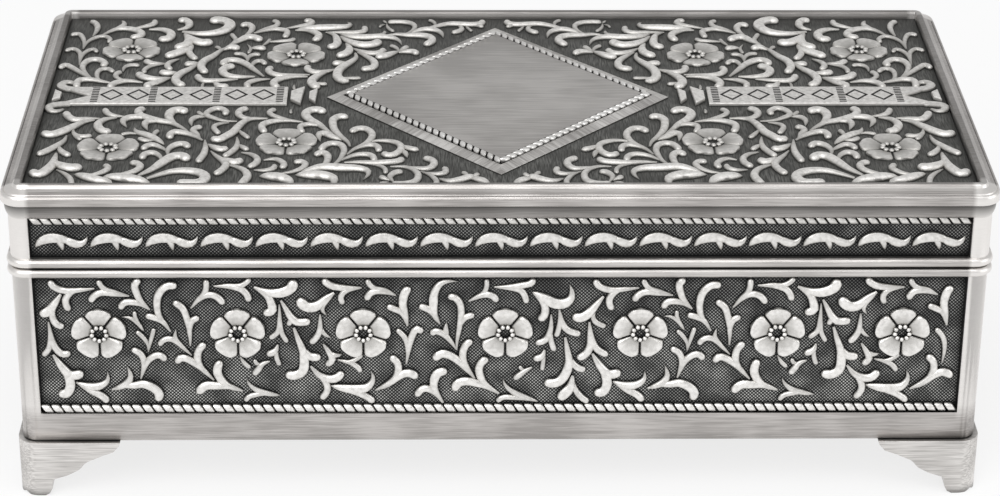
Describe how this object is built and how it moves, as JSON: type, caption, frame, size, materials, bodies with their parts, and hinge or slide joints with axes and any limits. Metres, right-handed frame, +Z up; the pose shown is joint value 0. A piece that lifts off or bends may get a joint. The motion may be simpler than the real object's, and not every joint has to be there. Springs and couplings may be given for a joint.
{
  "type": "rosary box",
  "caption": "Oblong cast metal rosary box with a hinged lid, scroll and flower relief panels, a plain lozenge plaque, rope mouldings, bracket feet and a velvet lining.",
  "frame": {"origin": "on the floor under the middle of the box", "axes": "+X to the right along the box, -Y out of the front, +Z up; the hinge is along the back edge at +Y"},
  "size_m": [0.2, 0.1015, 0.07],
  "materials": {
    "cast_silver": "silver-plated casting, brushed and lightly antiqued",
    "antiqued_relief": "silver-plated relief, dark patina in the ground and rubbed bright on the tops",
    "brushed_plaque": "silver plate brushed along the box",
    "hinge_metal": "nickel-plated steel, satin",
    "base_sheet": "rolled sheet, silver plated",
    "velvet": "short-pile velvet on board"
  },
  "bodies": {
    "body": {"body_frame": "cast_silver", "front_panel": "antiqued_relief", "back_panel": "antiqued_relief", "left_panel": "antiqued_relief", "right_panel": "antiqued_relief", "bottom_plate": "base_sheet", "foot_front_left": "cast_silver", "foot_front_right": "cast_silver", "foot_back_left": "cast_silver", "foot_back_right": "cast_silver", "foot_screws": "hinge_metal", "left_hinge_body_leaf": "hinge_metal", "right_hinge_body_leaf": "hinge_metal", "left_hinge_pin": "hinge_metal", "right_hinge_pin": "hinge_metal", "hinge_body_rivets": "hinge_metal", "floor_pad": "velvet", "body_lining_front": "velvet", "body_lining_back": "velvet", "body_lining_left": "velvet", "body_lining_right": "velvet"},
    "lid": {"lid_frame": "cast_silver", "lid_front_frieze": "antiqued_relief", "lid_back_frieze": "antiqued_relief", "lid_left_frieze": "antiqued_relief", "lid_right_frieze": "antiqued_relief", "lid_top_plate": "antiqued_relief", "engraving_plaque": "brushed_plaque", "left_hinge_lid_leaf": "hinge_metal", "right_hinge_lid_leaf": "hinge_metal", "hinge_lid_rivets": "hinge_metal", "lid_lining_pad": "velvet", "lid_lining_front": "velvet", "lid_lining_back": "velvet", "lid_lining_left": "velvet", "lid_lining_right": "velvet"}
  },
  "joints": [
    {"name": "lid_hinge", "type": "hinge", "parent": "body", "child": "lid", "pos_m": [0, 0.05, 0.0522], "axis": [-1, 0, 0], "range_deg": [0, 100]}
  ]
}
